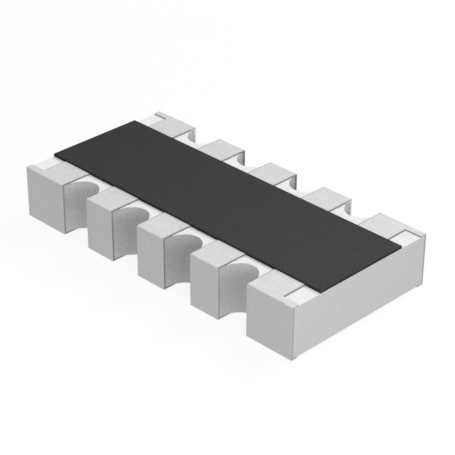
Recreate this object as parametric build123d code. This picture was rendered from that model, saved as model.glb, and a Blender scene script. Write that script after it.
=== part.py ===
from build123d import *
import os

# Chip resistor network: a notched ceramic chip with ten wrapped terminals, in millimetres.
# It lies on its underside, X along its length, Y across it, Z up from the solder plane.
# Terminals 1 to 5 run left to right along the front (-Y) and 6 to 10 right to left along the
# back, so the back row is the front row turned half a turn about Z.

# Case, over the plated terminals
case_length = 3.2
case_width = 1.6
ceramic_thickness = 0.466

# Terminals, five a side: a corner one has a narrow lip that runs on to the chip's end
terminals_per_side = 5
pitch = 0.635
land_width = 0.32
corner_inset = 0.16
corner_lip = 0.07
bottom_land_depth = 0.3

# Notch between two terminals: half of an oval hole, its depth measured from the case's side. The
# snap lines run just in front of the holes' middles, so the front notches are the deeper ones.
notch_depth = 0.225
snap_offset = 0.017

# Metal layers of a terminal, from the ceramic outwards
conductor_film = 0.005
side_film = 0.013
nickel_film = 0.003
tin_film = 0.004
wrap_radius = 0.008

# Printed circuit under the coat: lands, a bus along the middle, and an element from each to it
conductor_reach = 0.46
bus_width = 0.16
element_width = 0.22
element_lap = 0.05
element_film = 0.007

# Laser trim of an element: a cut that starts just off one edge, then a short run along it
kerf_width = 0.02
trim_lead_in = 0.015
trim_depth = 0.11
trim_run = 0.07

# Inner glass over the elements, and the black overcoat over everything
glass_margin = 0.02
glass_film = 0.005
coat_width = 0.97
coat_film = 0.009
coat_edge_radius = 0.004

# Levels, up from the solder plane
plating = nickel_film + tin_film
ceramic_bottom = conductor_film + plating
ceramic_top = ceramic_bottom + ceramic_thickness
conductor_top = ceramic_top + conductor_film
element_top = conductor_top + element_film
glass_top = element_top + glass_film
coat_top = glass_top + coat_film

# Edges of the front half
front = -case_width / 2
ceramic_front = front + plating + side_film
coat_front = -coat_width / 2
reach_end = front + conductor_reach
bus_front = -bus_width / 2

# Columns are counted from the left, and the last one holds the common terminal of each row
last_column = terminals_per_side - 1
corner_columns = (0, last_column)
rows = (Rot(0, 0, 0), Rot(0, 0, 180))


def block(x_range, y_range, z_range):
    """Rectangular layer that fills three ranges."""
    ranges = (x_range, y_range, z_range)
    centre = [(low + high) / 2 for low, high in ranges]
    return Pos(*centre) * Box(*[high - low for low, high in ranges])


def column_x(column):
    """Pitch line of a column."""
    return (column - last_column / 2) * pitch


def land_range(column, inset):
    """Left and right edges of a land, drawn in by an inset from the tin's surface."""
    left = column_x(column) - land_width / 2
    right = column_x(column) + land_width / 2
    if column == 0:
        left = corner_inset - case_length / 2
    if column == last_column:
        right = case_length / 2 - corner_inset
    return left + inset, right - inset


def side_range(column, inset):
    """Left and right edges of a side plate, which at a corner runs on to the chip's end."""
    left, right = land_range(column, inset)
    if column == 0:
        left = inset - case_length / 2
    if column == last_column:
        right = case_length / 2 - inset
    return left, right


def notched_ceramic():
    """Alumina chip, punched with rows of oval holes and snapped through them on both long sides."""
    gap = pitch - land_width
    oval = Ellipse(gap / 2 + plating, notch_depth + front - ceramic_front)
    outline = Rectangle(case_length, -2 * ceramic_front)
    hole_lines = (ceramic_front + snap_offset, snap_offset - ceramic_front)
    for column in range(last_column):
        notch_x = column_x(column) + pitch / 2
        outline -= [Pos(notch_x, hole_line) * oval for hole_line in hole_lines]
    return Pos(0, 0, ceramic_bottom) * extrude(outline, ceramic_thickness)


def printed_land(column, reach, z_range):
    """Fired film of a land on one face of the ceramic, with its lip at a corner."""
    film = block(land_range(column, plating), (ceramic_front, reach), z_range)
    if column in corner_columns:
        lip_range = (ceramic_front, front + corner_lip - plating)
        film += block(side_range(column, plating), lip_range, z_range)
    return film


def top_film(column):
    """Top print of a terminal, which runs in under the coat."""
    return printed_land(column, reach_end, (ceramic_top, conductor_top))


def bottom_film(column):
    """Bottom print of a terminal."""
    reach = front + bottom_land_depth - plating
    return printed_land(column, reach, (plating, ceramic_bottom))


def side_metal(column):
    """Metal on the chip's side, over the edges of both prints."""
    y_range = (front + plating, ceramic_front)
    return block(side_range(column, plating), y_range, (plating, conductor_top))


def wrap_section(top_reach, bottom_reach, inset):
    """C-shaped section of a wrap, rounded where it turns over the side to either face."""
    outside_top = conductor_top + plating - inset
    section = Polygon(
        (front + inset, inset),
        (bottom_reach, inset),
        (bottom_reach, ceramic_bottom),
        (ceramic_front, ceramic_bottom),
        (ceramic_front, ceramic_top),
        (top_reach, ceramic_top),
        (top_reach, outside_top),
        (front + inset, outside_top),
        align=None,
    )
    turns = section.vertices().group_by(Axis.X)[0]
    return Plane.YZ * fillet(turns, wrap_radius - inset)


def wrap(column, inset):
    """Outside of a terminal, drawn in by an inset from the tin's surface."""
    left, right = land_range(column, inset)
    section = wrap_section(coat_front, front + bottom_land_depth - inset, inset)
    metal = Pos(left, 0, 0) * extrude(section, right - left)
    if column in corner_columns:
        left, right = side_range(column, inset)
        lip_reach = front + corner_lip - inset
        lip_section = wrap_section(lip_reach, lip_reach, inset)
        metal += Pos(left, 0, 0) * extrude(lip_section, right - left)
    return metal


def nickel(column):
    """Nickel plated over the fired films."""
    return wrap(column, tin_film) - [top_film(column), bottom_film(column), side_metal(column)]


def tin(column):
    """Tin plated over the nickel."""
    return wrap(column, 0.0) - wrap(column, tin_film)


def element_range(column):
    """Left and right edges of a resistor element, on the middle of its land."""
    middle = sum(land_range(column, plating)) / 2
    return middle - element_width / 2, middle + element_width / 2


def printed_element(column):
    """Resistor print, whose ends lap the land and the bus."""
    y_range = (reach_end - element_lap, bus_front + element_lap)
    return block(element_range(column), y_range, (ceramic_top, element_top))


def trim_kerf(column):
    """L-shaped laser cut through the glass and the element."""
    edge = element_range(column)[1]
    tip = edge - trim_depth
    start = (reach_end + bus_front - trim_run) / 2
    z_range = (ceramic_top, glass_top)
    plunge = block((tip, edge + trim_lead_in), (start, start + kerf_width), z_range)
    run = block((tip, tip + kerf_width), (start, start + trim_run), z_range)
    return plunge + run


def both_rows(piece, columns):
    """The same piece of each column, seated in the front row and in the back row."""
    return [turn * piece(column) for turn in rows for column in columns]


def bus():
    """Common conductor: a strip along the middle, joined to the last land of each row."""
    z_range = (ceramic_top, conductor_top)
    left, right = land_range(last_column, plating)
    lead = block((left, right), (reach_end, bus_front), z_range)
    strip = block((-right, right), (bus_front, -bus_front), z_range)
    ends = top_film(last_column) + lead
    return strip + [turn * ends for turn in rows]


# Pieces, in the order in which the chip is made
resistor_columns = range(last_column)
common_bus = bus()
conductors = [common_bus, *both_rows(top_film, resistor_columns)]
prints = both_rows(printed_element, resistor_columns)
kerfs = both_rows(trim_kerf, resistor_columns)

glass_range_x = (element_range(0)[0] - glass_margin, glass_margin - element_range(0)[0])
glass_front = reach_end - element_lap - glass_margin
inner_glass = block(glass_range_x, (glass_front, -glass_front), (ceramic_top, glass_top))
inner_glass -= [*conductors, *prints, *kerfs]

coat_ends = (-case_length / 2, case_length / 2)
coat = block(coat_ends, (coat_front, -coat_front), (ceramic_top, coat_top))
coat = fillet(coat.edges().group_by(Axis.Z)[-1].filter_by(Axis.X), coat_edge_radius)

parts = {"ceramic_substrate": notched_ceramic(), "common_bus": common_bus}
for row, turn in enumerate(rows):
    for column in range(terminals_per_side):
        number = row * terminals_per_side + column + 1
        if column in resistor_columns:
            element = turn * (printed_element(column) - trim_kerf(column)) - conductors
            parts[f"top_electrode_{number}"] = turn * top_film(column)
            parts[f"resistor_element_{number}"] = element
            coat -= element
        parts[f"bottom_electrode_{number}"] = turn * bottom_film(column)
        parts[f"side_electrode_{number}"] = turn * side_metal(column)
        parts[f"nickel_barrier_{number}"] = turn * nickel(column)
        parts[f"terminal_{number}"] = turn * tin(column)
parts["inner_glass"] = inner_glass
parts["protective_overcoat"] = coat - [*conductors, inner_glass]

os.makedirs("parts", exist_ok=True)
for name, piece in parts.items():
    piece.label = name
    export_step(piece, f"parts/{name}.step")
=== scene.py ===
import math

import bmesh
import bpy
from mathutils import Matrix, Quaternion, Vector


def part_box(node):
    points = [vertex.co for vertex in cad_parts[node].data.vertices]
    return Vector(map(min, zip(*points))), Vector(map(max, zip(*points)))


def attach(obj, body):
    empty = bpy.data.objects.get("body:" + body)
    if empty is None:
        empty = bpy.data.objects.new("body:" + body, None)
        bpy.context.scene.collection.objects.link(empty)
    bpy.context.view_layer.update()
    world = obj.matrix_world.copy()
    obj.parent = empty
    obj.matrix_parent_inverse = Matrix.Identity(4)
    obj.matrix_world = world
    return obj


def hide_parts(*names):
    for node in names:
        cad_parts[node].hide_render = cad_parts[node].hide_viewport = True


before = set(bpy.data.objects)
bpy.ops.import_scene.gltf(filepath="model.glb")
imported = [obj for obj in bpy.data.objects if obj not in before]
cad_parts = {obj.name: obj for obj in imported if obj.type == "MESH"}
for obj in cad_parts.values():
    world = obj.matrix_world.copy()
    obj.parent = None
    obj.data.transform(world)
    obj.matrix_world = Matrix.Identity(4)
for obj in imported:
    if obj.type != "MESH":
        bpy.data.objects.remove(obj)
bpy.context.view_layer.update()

# Ceramic substrate. A plate of alumina, cast as tape, punched with rows of oval holes, fired white,
# then snapped along those rows and across them, which leaves about half of each hole in the chip's
# long sides. Its broad faces are smooth, its snapped ends more evenly grained, and the hole walls
# dull. Painted shade makes the top a little greyer towards the right end, the snapped ends greyer,
# and the hole walls darker.

MM = 0.001
terminals_per_side = 5


def box_mm(node):
    """Lowest and highest corner of a piece of the frame, in millimetres."""
    return [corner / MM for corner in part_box(node)]


chip_low, chip_high = box_mm("ceramic_substrate")
front_row = [box_mm(f"terminal_{column + 1}") for column in range(terminals_per_side)]
hole_middles = [(left[1].x + right[0].x) / 2 for left, right in zip(front_row, front_row[1:])]
plating = box_mm("bottom_electrode_1")[0].z
hole_half_width = hole_middles[0] - front_row[0][1].x + plating
hole_half_depth = 0.205
snap_offset = 0.017
punch_steps = 40
snapped_edge = 0.002
edge_steps = 2
half_turn = Matrix.Rotation(math.pi, 3, "Z")
sharp_fold = math.radians(50)
square_on = 0.9
nearly_upright = 0.1


def points(found):
    """Only the vertices of what a mesh operation gives back."""
    return [item for item in found["geom"] if isinstance(item, bmesh.types.BMVert)]


def snapped_side(chip, hole_inset):
    """Traces the front side from left to right, round holes whose middles lie in by an inset."""
    earlier = set(chip.verts)
    last = chip.verts.new(chip_low)
    stretch = hole_half_depth / hole_half_width
    inset = hole_inset / stretch
    half_mouth = math.sqrt(hole_half_width ** 2 - inset ** 2)
    sweep = math.pi + 2 * math.asin(inset / hole_half_width)
    for middle in hole_middles:
        start = chip.verts.new((middle - half_mouth, chip_low.y, chip_low.z))
        chip.edges.new((last, start))
        hole = bmesh.ops.spin(
            chip, geom=[start], cent=(middle, chip_low.y + inset, chip_low.z), axis=(0, 0, 1),
            angle=-sweep, steps=punch_steps,
        )
        last = hole["geom_last"][0]
    chip.edges.new((last, chip.verts.new((chip_high.x, chip_low.y, chip_low.z))))
    traced = [vert for vert in chip.verts if vert not in earlier]
    from_side = Matrix.Translation((0, -chip_low.y, 0))
    bmesh.ops.scale(chip, vec=(1, stretch, 1), space=from_side, verts=traced)
    return traced


def snapped_chip():
    """The whole chip: both long sides traced, the back one turned round, then filled and raised."""
    chip = bmesh.new()
    snapped_side(chip, snap_offset)
    back_side = snapped_side(chip, -snap_offset)
    bmesh.ops.rotate(chip, cent=(0, 0, 0), matrix=half_turn, verts=back_side)
    corners = sorted((v for v in chip.verts if len(v.link_edges) == 1), key=lambda v: v.co.x)
    chip.edges.new(corners[:2])
    chip.edges.new(corners[2:])
    bmesh.ops.edgenet_fill(chip, edges=chip.edges[:])
    raised = bmesh.ops.extrude_face_region(chip, geom=chip.faces[:])
    bmesh.ops.translate(chip, vec=(0, 0, chip_high.z - chip_low.z), verts=points(raised))
    bmesh.ops.recalc_face_normals(chip, faces=chip.faces[:])
    return chip


def soften(body, edges, radius, segments):
    """Rounds some edges of a mesh, and leaves its flat faces flat."""
    rounded = bmesh.ops.bevel(
        body, geom=edges, offset=radius, offset_type="OFFSET", segments=segments,
        profile=0.5, affect="EDGES", material=-1,
    )
    for face in rounded["faces"]:
        face.smooth = True


def folds(body):
    """Edges where two faces meet at a sharp outward corner."""
    return [e for e in body.edges if e.is_convex and e.calc_face_angle(0) > sharp_fold]


screen_white = 255
curve_toe = 0.055
curve_power = 2.4
noise_ends = 0.3, 0.7
lower_socket, upper_socket, mixed_socket = 6, 7, 2


def tone(level):
    """Linear colour of a grey, or of three levels, given from 0 to 255 as a screen shows them."""
    levels = level if isinstance(level, tuple) else (level, level, level)
    shares = [(part / screen_white + curve_toe) / (1 + curve_toe) for part in levels]
    return [share ** curve_power for share in shares] + [1.0]


def new_finish(name, metallic=0.0, specular=0.5):
    """A material, with the values that are the same all over its surface."""
    finish = bpy.data.materials.new(name)
    finish.use_nodes = True
    shader = finish.node_tree.nodes["Principled BSDF"]
    shader.inputs["Metallic"].default_value = metallic
    shader.inputs["Specular IOR Level"].default_value = specular
    return finish


def grain(finish, size, stretch=(1, 1, 1), detail=3):
    """Noise with spots of about a size in millimetres, which may be drawn out along an axis."""
    tree = finish.node_tree
    place = tree.nodes.new("ShaderNodeTexCoord")
    draw_out = tree.nodes.new("ShaderNodeMapping")
    draw_out.inputs["Scale"].default_value = [1 / share for share in stretch]
    spots = tree.nodes.new("ShaderNodeTexNoise")
    spots.inputs["Scale"].default_value = 1 / (size * MM)
    spots.inputs["Detail"].default_value = detail
    tree.links.new(place.outputs["Object"], draw_out.inputs["Vector"])
    tree.links.new(draw_out.outputs["Vector"], spots.inputs["Vector"])
    return spots.outputs["Fac"]


def shade(finish, spots, tones):
    """Colour that runs from a dark to a light tone over a noise."""
    tree = finish.node_tree
    ramp = tree.nodes.new("ShaderNodeValToRGB")
    for stop, end, level in zip(ramp.color_ramp.elements, noise_ends, tones):
        stop.position = end
        stop.color = tone(level)
    tree.links.new(spots, ramp.inputs["Fac"])
    return ramp.outputs["Color"]


def fade(finish, axis, low, high, tones, mirrored=False):
    """Colour that runs through some tones from a low to a high place on an axis, in millimetres."""
    tree = finish.node_tree
    place = tree.nodes.new("ShaderNodeTexCoord")
    split = tree.nodes.new("ShaderNodeSeparateXYZ")
    tree.links.new(place.outputs["Object"], split.inputs[0])
    across = split.outputs[axis]
    if mirrored:
        unsigned = tree.nodes.new("ShaderNodeMath")
        unsigned.operation = "ABSOLUTE"
        tree.links.new(across, unsigned.inputs[0])
        across = unsigned.outputs[0]
    spread = tree.nodes.new("ShaderNodeMapRange")
    spread.inputs["From Min"].default_value = low * MM
    spread.inputs["From Max"].default_value = high * MM
    tree.links.new(across, spread.inputs["Value"])
    ramp = tree.nodes.new("ShaderNodeValToRGB")
    last_stop = len(tones) - 1
    for stop_number in range(1, last_stop):
        ramp.color_ramp.elements.new(stop_number / last_stop)
    for stop, level in zip(ramp.color_ramp.elements, tones):
        stop.color = tone(level)
    tree.links.new(spread.outputs["Result"], ramp.inputs["Fac"])
    return ramp.outputs["Color"]


def laid_over(finish, *colours):
    """Colours laid one over another, each of which darkens those under it."""
    tree = finish.node_tree
    result = colours[0]
    for colour in colours[1:]:
        mix = tree.nodes.new("ShaderNodeMix")
        mix.data_type = "RGBA"
        mix.blend_type = "MULTIPLY"
        mix.inputs["Factor"].default_value = 1
        tree.links.new(result, mix.inputs[lower_socket])
        tree.links.new(colour, mix.inputs[upper_socket])
        result = mix.outputs[mixed_socket]
    return result


def wear_finish(finish, colour, spots, roughness, height):
    """Joins a colour to the shader, and a roughness and a relief, in millimetres, over spots."""
    tree = finish.node_tree
    shader = tree.nodes["Principled BSDF"]
    tree.links.new(colour, shader.inputs["Base Color"])
    spread = tree.nodes.new("ShaderNodeMapRange")
    for end, value in zip(("To Min", "To Max"), roughness):
        spread.inputs[end].default_value = value
    tree.links.new(spots, spread.inputs["Value"])
    tree.links.new(spread.outputs["Result"], shader.inputs["Roughness"])
    bump = tree.nodes.new("ShaderNodeBump")
    bump.inputs["Distance"].default_value = height * MM
    tree.links.new(spots, bump.inputs["Height"])
    tree.links.new(bump.outputs["Normal"], shader.inputs["Normal"])


def grained_finish(name, size, tones, roughness, height, metallic=0.0, specular=0.5):
    """A finish whose tones, roughness and relief all follow one grain."""
    finish = new_finish(name, metallic, specular)
    spots = grain(finish, size)
    wear_finish(finish, shade(finish, spots, tones), spots, roughness, height)
    return finish


def finished_piece(name, body, finishes, slot, *nodes):
    """Puts a mesh made in millimetres into the scene, in metres, in place of frame pieces."""
    bmesh.ops.scale(body, vec=(MM, MM, MM), verts=body.verts)
    mesh = bpy.data.meshes.new(name)
    body.to_mesh(mesh)
    body.free()
    for finish in finishes:
        mesh.materials.append(finish)
    piece = bpy.data.objects.new(name, mesh)
    bpy.context.scene.collection.objects.link(piece)
    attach(piece, "root")
    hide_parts(*nodes)


alumina = new_finish("fired_alumina", specular=0.2)
crystals = grain(alumina, size=0.015)
clouds = grain(alumina, size=0.15, detail=1)
# Painted shade: the white is painted a little greyer from the left end towards the right.
painted_shade_right = fade(alumina, "X", chip_low.x, chip_high.x, tones=(254, 252, 249, 248, 246))
white = laid_over(
    alumina,
    shade(alumina, crystals, tones=(233, 255)),
    shade(alumina, clouds, tones=(252, 255)),
    painted_shade_right,
)
wear_finish(alumina, white, crystals, roughness=(0.5, 0.7), height=0.0006)

punched_alumina = new_finish("punched_alumina_wall", specular=0.1)
streaks = grain(punched_alumina, size=0.014, stretch=(1, 1, 4))
skin = grain(punched_alumina, size=0.014, detail=4)
# Painted shade on the hole walls: darker part way up, deeper in each hole, and in the middle holes.
painted_shade_up_wall = fade(
    punched_alumina, "Z", chip_low.z, chip_high.z, tones=(255, 242, 230, 221, 236)
)
painted_shade_by_hole = fade(
    punched_alumina, "X", hole_middles[0], hole_middles[-1], tones=(255, 243, 236, 255)
)
mouth = -chip_low.y
painted_shade_in_hole = fade(
    punched_alumina, "Y", mouth - hole_half_depth, mouth, tones=(249, 255), mirrored=True
)
wall_grain_and_shade = laid_over(
    punched_alumina,
    shade(punched_alumina, skin, tones=(232, 255)),
    shade(punched_alumina, streaks, tones=(245, 255)),
    painted_shade_up_wall,
    painted_shade_in_hole,
    painted_shade_by_hole,
)
wear_finish(punched_alumina, wall_grain_and_shade, skin, roughness=(0.7, 0.85), height=0.0008)

# The snapped ends: an even grain, in greys painted darker than the top's white, as shade on the
# ends.
shaded_snapped_alumina = grained_finish(
    "snapped_alumina_end", size=0.012, tones=(228, 234), roughness=(0.5, 0.7), height=0.0006,
    specular=0.2,
)

ceramic_finishes = [alumina, punched_alumina, shaded_snapped_alumina]
chip = snapped_chip()
soften(chip, folds(chip), snapped_edge, edge_steps)
for face in chip.faces:
    middle = face.calc_center_median()
    inside = min(chip_high.x - abs(middle.x), chip_high.y - abs(middle.y)) > snapped_edge
    if inside and abs(face.normal.z) < nearly_upright:
        face.material_index = ceramic_finishes.index(punched_alumina)
        face.smooth = True
    if abs(face.normal.x) > square_on and not inside:
        face.material_index = ceramic_finishes.index(shaded_snapped_alumina)
for edge in chip.edges:
    edge.smooth = len({face.material_index for face in edge.link_faces}) == 1
finished_piece("chip_ceramic", chip, ceramic_finishes, "alumina", "ceramic_substrate")

# Fired silver. Silver and glass paste, screen printed as the top lands with the common strip, and
# as the bottom lands, and dipped on the chip's sides to join them, then fired. The plating and the
# black coat hide all of it.

silver = grained_finish(
    "fired_silver", size=0.01, tones=(205, 228), roughness=(0.35, 0.6), height=0.001, metallic=0.9
)


def dress(finish, beginning):
    """Gives a finish to every piece of the frame whose name begins with a word."""
    for name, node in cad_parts.items():
        if name.startswith(beginning):
            for holder in node.material_slots:
                holder.material = finish


for film in ("common_bus", "top_electrode", "bottom_electrode", "side_electrode"):
    dress(silver, film)

# Resistor elements. Ruthenium oxide paste, printed from each top land to the common strip and
# fired black, then cut with a laser until each has its value.

resistor_print = grained_finish(
    "resistor_print", size=0.008, tones=(28, 46), roughness=(0.3, 0.5), height=0.0006
)
dress(resistor_print, "resistor_element")

# Inner glass. A thin green glaze, printed and fired over the elements before they are trimmed, so
# that the laser cuts through both.

dark_green = 63.2, 93.2, 79.9
light_green = 79.9, 114.6, 97.2
glaze = grained_finish(
    "inner_glaze", size=0.02, tones=(dark_green, light_green), roughness=(0.12, 0.3),
    height=0.0005,
)
dress(glaze, "inner_glass")

# Overcoat. Black epoxy paste, screen printed over the circuit from end to end and cured, which
# leaves it even and nearly matt, with a fine filler speckle. Its long edges are rounded. Painted
# shade darkens those edges, and makes the black a little darker at its left end than at its right.

coat_side = box_mm("protective_overcoat")[1].y
edge_fade = 0.006
darkest_edge = 0.001

overcoat = new_finish("black_overcoat", specular=0.01)
filler = grain(overcoat, size=0.014)
screen_marks = grain(overcoat, size=0.09, detail=1)
# Painted shade along the long edges.
painted_shade_edges = fade(
    overcoat, "Y", coat_side - edge_fade, coat_side - darkest_edge, tones=(255, 205),
    mirrored=True,
)
# Painted shade, darker at the left end than at the right.
painted_shade_left = fade(overcoat, "X", chip_low.x, chip_high.x, tones=(235, 255))
black = laid_over(
    overcoat,
    shade(overcoat, filler, tones=(61, 73)),
    shade(overcoat, screen_marks, tones=(250, 255)),
    painted_shade_edges,
    painted_shade_left,
)
wear_finish(overcoat, black, filler, roughness=(0.5, 0.7), height=0.0008)
dress(overcoat, "protective_overcoat")

# Nickel barriers. Nickel plated over each terminal's fired silver, to keep the solder off it. The
# tin hides it.

nickel = grained_finish(
    "plated_nickel", size=0.006, tones=(176, 196), roughness=(0.25, 0.45), height=0.0005,
    metallic=1.0,
)
dress(nickel, "nickel_barrier")

# Terminals. The tin skin of each: matt tin plated over the nickel, down to the ceramic all round.
# It wraps the chip's side from the top land to the bottom land, and at a corner a narrow lip runs
# on to the chip's end, which makes the land L-shaped. Painted shade darkens most of its thin edges
# and a narrow rim along the sides of each land.

front = front_row[0][0].y
under = front_row[0][0].z
over = front_row[0][1].z
top_reach = front_row[0][1].y
bottom_reach = box_mm("bottom_electrode_1")[1].y + plating
corner_inset = 0.16
corner_lip = 0.07
tin_film = 0.004
turn_radius = 0.008
turn_steps = 5
cut_edge = 0.004
# Painted shade: a rim this wide along each land's sides is painted darker, as are the thin edges.
rim_width = 0.0085
# Painted shade on each terminal's side edges: a grey for each, as dark as the shade there.
side_edge_shades = {
    1: 172, 2: 158, 3: 158, 4: 182, 5: 165,
    6: 165, 7: 250, 8: 138, 9: 138, 10: 250,
}
touching = 0.0005
nearly_flat = math.radians(1)
facing_up = 0.3
facing_out = 0.7
facing_along = 0.95
along_chip = (1, 0, 0)
across_chip = (0, 1, 0)


def matt_tin(name, tones, patches, top=255):
    """Matt tin with a fine grain and soft patches, and painted shade that may darken it upwards."""
    finish = new_finish(name, metallic=0.25, specular=0.3)
    speckle = grain(finish, size=0.013)
    grey = laid_over(
        finish,
        shade(finish, speckle, tones),
        shade(finish, grain(finish, size=0.1, detail=2), patches),
        fade(finish, "Z", under, over, tones=(255, top)),
    )
    wear_finish(finish, grey, speckle, roughness=(0.42, 0.6), height=0.0008)
    return finish


def painted_shade_plating(name, level):
    """Painted shade for the plating's thin edges, ends and rims, in a grey of its own with a fine
    grain.
    """
    grain_range = 7
    return grained_finish(
        name, size=0.008, tones=(level - grain_range, level + grain_range), roughness=(0.5, 0.7),
        height=0.0005, metallic=0.2, specular=0.2,
    )


land_tin = matt_tin("matt_tin_land", tones=(205, 219), patches=(249, 255))
# The long sides' tin has fewer patches, and painted shade that darkens it towards the top.
side_tin = matt_tin("matt_tin_side", tones=(210, 217), patches=(252, 255), top=252)
rim_edge = painted_shade_plating("painted_shade_rim", level=146)
end_edge = painted_shade_plating("painted_shade_end", level=191)


def land_sides(low, high):
    """Left and right sides of a terminal's land."""
    return max(low.x, chip_low.x + corner_inset), min(high.x, chip_high.x - corner_inset)


def cut_across(body, place, facing):
    """Cuts a mesh in two along a plane, and keeps both parts."""
    everything = body.verts[:] + body.edges[:] + body.faces[:]
    bmesh.ops.bisect_plane(body, geom=everything, plane_co=place, plane_no=facing)


def tin_skin(low, high):
    """Skin of a front terminal: a C-shaped wrap, whose lands are drawn out from its lips."""
    lip = front + corner_lip
    section = (
        (front, under), (lip, under), (lip, chip_low.z), (chip_low.y, chip_low.z),
        (chip_low.y, chip_high.z), (lip, chip_high.z), (lip, over), (front, over),
    )
    skin = bmesh.new()
    skin.faces.new([skin.verts.new((low.x, y, z)) for y, z in section])
    drawn = bmesh.ops.extrude_face_region(skin, geom=skin.faces[:])
    bmesh.ops.translate(skin, vec=(high.x - low.x, 0, 0), verts=points(drawn))
    bmesh.ops.recalc_face_normals(skin, faces=skin.faces[:])
    land_left, land_right = land_sides(low, high)
    for land_side in (land_left, land_right):
        if low.x + touching < land_side < high.x - touching:
            cut_across(skin, (land_side, 0, 0), along_chip)
    for level, reach in ((over, top_reach), (under, bottom_reach)):
        edge_faces = [
            f for f in skin.faces
            if f.normal.y > square_on and land_left < f.calc_center_median().x < land_right
            and abs(f.calc_center_median().y - lip) < touching
            and abs(f.calc_center_median().z - level) < chip_low.z
        ]
        drawn = bmesh.ops.extrude_discrete_faces(skin, faces=edge_faces)["faces"]
        bmesh.ops.translate(skin, vec=(0, reach - lip, 0), verts=drawn[0].verts[:])
    bmesh.ops.dissolve_limit(
        skin, angle_limit=nearly_flat, verts=skin.verts[:], edges=skin.edges[:]
    )
    return skin


def on_ceramic(face):
    """Whether a face of a wrap lies against the ceramic."""
    middle = face.calc_center_median()
    return (
        face.normal.z < -square_on and abs(middle.z - chip_high.z) < touching
        or face.normal.z > square_on and abs(middle.z - chip_low.z) < touching
        or face.normal.y > square_on and abs(middle.y - chip_low.y) < touching
    )


def is_turn(edge):
    """Whether an edge is where the wrap turns over the side."""
    a, b = (v.co for v in edge.verts)
    return abs(a.x - b.x) > touching and max(a.y, b.y) < front + touching


def tin_finish(face, low, high, side_edge):
    """The finish of a face of a wrap, from where it lies and the way it faces."""
    middle = face.calc_center_median()
    # Painted shade goes on the ends, the thin edges and the rims beside the lands; tin on the rest.
    if abs(middle.x) > chip_high.x - cut_edge / 2:
        return end_edge
    if abs(face.normal.x) > facing_along:
        return rim_edge if middle.z > chip_high.z else side_edge
    for side, end in zip(land_sides(low, high), (low.x, high.x)):
        rim_start = front if side == end else front + corner_lip
        beside_land = abs(middle.x - side) < rim_width and middle.y > rim_start
        if beside_land and face.normal.z > facing_up:
            return rim_edge
    if face.normal.y > square_on:
        return rim_edge
    return side_tin if face.normal.y < -facing_out else land_tin


def plated_terminal(low, high, side_edge, finishes):
    """Finished tin skin, with its edges rounded, its faces marked and its thickness given."""
    skin = tin_skin(low, high)
    soften(skin, [e for e in skin.edges if is_turn(e)], turn_radius, turn_steps)
    bmesh.ops.delete(skin, geom=[f for f in skin.faces if on_ceramic(f)], context="FACES")
    soften(skin, folds(skin), cut_edge, edge_steps)
    left, right = land_sides(low, high)
    cut_across(skin, (left + rim_width, 0, 0), along_chip)
    cut_across(skin, (right - rim_width, 0, 0), along_chip)
    cut_across(skin, (left, front + corner_lip, 0), across_chip)
    for face in skin.faces:
        face.material_index = finishes.index(tin_finish(face, low, high, side_edge))
    bmesh.ops.solidify(skin, geom=skin.faces[:], thickness=tin_film)
    return skin


for number, (low, high) in enumerate(front_row, 1):
    for turned in (False, True):
        place = number + terminals_per_side * turned
        side_edge = painted_shade_plating(f"painted_shade_side_{place}", side_edge_shades[place])
        finishes = [land_tin, rim_edge, side_edge, end_edge, side_tin]
        skin = plated_terminal(low, high, side_edge, finishes)
        if turned:
            bmesh.ops.rotate(skin, cent=(0, 0, 0), matrix=half_turn, verts=skin.verts[:])
        finished_piece(f"tin_terminal_{place}", skin, finishes, "tin", f"terminal_{place}")

# Studio. A wide sheet of white paper under the chip, which also glows, so that it keeps only a
# faint shadow close to the chip and fades into the white wall far from it. The eye and the
# reflections see it white, and all other light meets a dimmer sheet.

floor_half_width = 120
floor_drop = 0.0005
near_floor = 5
far_floor = 20
paper_share = 0.15
dim_glow = 0.2074, 0.2074
seen_glow = 0.856, 0.92


def white_to_the_eye(tree, dim, bright, join_to):
    """Lets the eye and reflections see the bright surface, while other light meets the dim one."""
    path = tree.nodes.new("ShaderNodeLightPath")
    seen = path.outputs["Is Camera Ray"]
    for ray in ("Is Glossy Ray", "Is Transmission Ray"):
        either = tree.nodes.new("ShaderNodeMath")
        either.operation = "MAXIMUM"
        tree.links.new(seen, either.inputs[0])
        tree.links.new(path.outputs[ray], either.inputs[1])
        seen = either.outputs[0]
    choose = tree.nodes.new("ShaderNodeMixShader")
    tree.links.new(seen, choose.inputs[0])
    tree.links.new(dim, choose.inputs[1])
    tree.links.new(bright, choose.inputs[2])
    tree.links.new(choose.outputs[0], join_to)


def glow_outwards(tree, near_glow, far_glow):
    """Strength of the sheet's glow, which may change with the distance from the chip."""
    place = tree.nodes.new("ShaderNodeTexCoord")
    distance = tree.nodes.new("ShaderNodeVectorMath")
    distance.operation = "LENGTH"
    tree.links.new(place.outputs["Object"], distance.inputs[0])
    spread = tree.nodes.new("ShaderNodeMapRange")
    spread.inputs["From Min"].default_value = near_floor * MM
    spread.inputs["From Max"].default_value = far_floor * MM
    spread.inputs["To Min"].default_value = near_glow
    spread.inputs["To Max"].default_value = far_glow
    tree.links.new(distance.outputs["Value"], spread.inputs["Value"])
    return spread.outputs["Result"]


def glowing_paper(tree, glow):
    """Matt paper that takes light from above and glows as well."""
    matt = tree.nodes.new("ShaderNodeBsdfDiffuse")
    matt.inputs["Color"].default_value = (paper_share, paper_share, paper_share, 1)
    backlight = tree.nodes.new("ShaderNodeEmission")
    tree.links.new(glow_outwards(tree, *glow), backlight.inputs["Strength"])
    both = tree.nodes.new("ShaderNodeAddShader")
    tree.links.new(matt.outputs[0], both.inputs[0])
    tree.links.new(backlight.outputs[0], both.inputs[1])
    return both.outputs[0]


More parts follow.
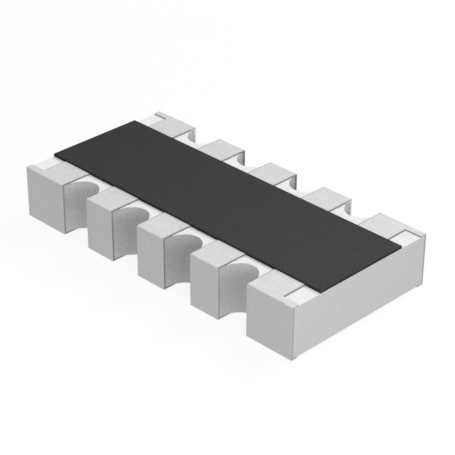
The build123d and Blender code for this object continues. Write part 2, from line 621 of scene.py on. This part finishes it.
paper = bpy.data.materials.new("studio_floor")
paper.use_nodes = True
tree = paper.node_tree
tree.nodes.remove(tree.nodes["Principled BSDF"])
surface = tree.nodes["Material Output"].inputs["Surface"]
dim_sheet = glowing_paper(tree, dim_glow)
seen_sheet = glowing_paper(tree, seen_glow)
white_to_the_eye(tree, dim_sheet, seen_sheet, surface)

sheet = bmesh.new()
bmesh.ops.create_grid(sheet, x_segments=1, y_segments=1, size=floor_half_width)
bmesh.ops.translate(sheet, vec=(0, 0, -floor_drop), verts=sheet.verts)
bmesh.ops.scale(sheet, vec=(MM, MM, MM), verts=sheet.verts)
floor_mesh = bpy.data.meshes.new("studio_floor")
sheet.to_mesh(floor_mesh)
sheet.free()
floor_mesh.materials.append(paper)
floor = bpy.data.objects.new("studio_floor", floor_mesh)
bpy.context.scene.collection.objects.link(floor)

# Light. An even pale sky gives most of it. A lamp high over the near corner and a wide one far
# behind make the top the brightest side, and a low lamp on the right lights mostly the chip's end.
# All three are soft squares that face the chip.

sky_strength = 0.609
near_lamp_place = Vector((3.2, -3.6, 7))
near_lamp_width = 5
near_lamp_power = 0.0001102
back_lamp_place = Vector((0, 22, 22))
back_lamp_width = 16
back_lamp_power = 0.003216
right_lamp_place = Vector((7, -2.5, 3.5))
right_lamp_width = 4
right_lamp_power = 0.0000927
pure_white = (1, 1, 1, 1)

world = bpy.data.worlds.new("white_studio")
bpy.context.scene.world = world
world.use_nodes = True
tree = world.node_tree
sky = tree.nodes["Background"]
sky.inputs["Color"].default_value = pure_white
sky.inputs["Strength"].default_value = sky_strength
white_wall = tree.nodes.new("ShaderNodeBackground")
white_wall.inputs["Color"].default_value = pure_white
surface = tree.nodes["World Output"].inputs["Surface"]
white_to_the_eye(tree, sky.outputs[0], white_wall.outputs[0], surface)


def soft_lamp(name, place, width, power):
    """A square lamp, placed in millimetres, that faces the chip."""
    light = bpy.data.lights.new(name, "AREA")
    light.size = width * MM
    light.energy = power
    lamp = bpy.data.objects.new(name, light)
    lamp.location = place * MM
    lamp.rotation_mode = "QUATERNION"
    lamp.rotation_quaternion = place.to_track_quat("Z", "Y")
    bpy.context.scene.collection.objects.link(lamp)


soft_lamp("near_lamp", near_lamp_place, near_lamp_width, near_lamp_power)
soft_lamp("back_lamp", back_lamp_place, back_lamp_width, back_lamp_power)
soft_lamp("right_lamp", right_lamp_place, right_lamp_width, right_lamp_power)

# Camera. It looks down at thirty degrees on the corner with terminal 5, as in the picture. It is a
# long lens about 14 mm away, so the far end of the chip looks only a little smaller.

camera_azimuth = math.radians(44.87)
camera_elevation = math.radians(29.98)
camera_roll = math.radians(0.353)
camera_aim = Vector((0.0658, 0.0359, 0.2216))
camera_distance = 13.676
camera_lens = 126.667
film_width = 36
near_clip = 1
far_clip = 1000

camera_data = bpy.data.cameras.new("camera")
camera_data.lens = camera_lens
camera_data.sensor_width = film_width
camera_data.clip_start = near_clip * MM
camera_data.clip_end = far_clip * MM
camera = bpy.data.objects.new("camera", camera_data)
back = Vector((
    math.sin(camera_azimuth) * math.cos(camera_elevation),
    -math.cos(camera_azimuth) * math.cos(camera_elevation),
    math.sin(camera_elevation),
))
camera.location = (camera_aim + back * camera_distance) * MM
camera.rotation_mode = "QUATERNION"
level_view = (-back).to_track_quat("-Z", "Y")
camera.rotation_quaternion = level_view @ Quaternion((0, 0, 1), camera_roll)
bpy.context.scene.collection.objects.link(camera)
bpy.context.scene.camera = camera
bpy.context.scene.view_settings.view_transform = "Standard"
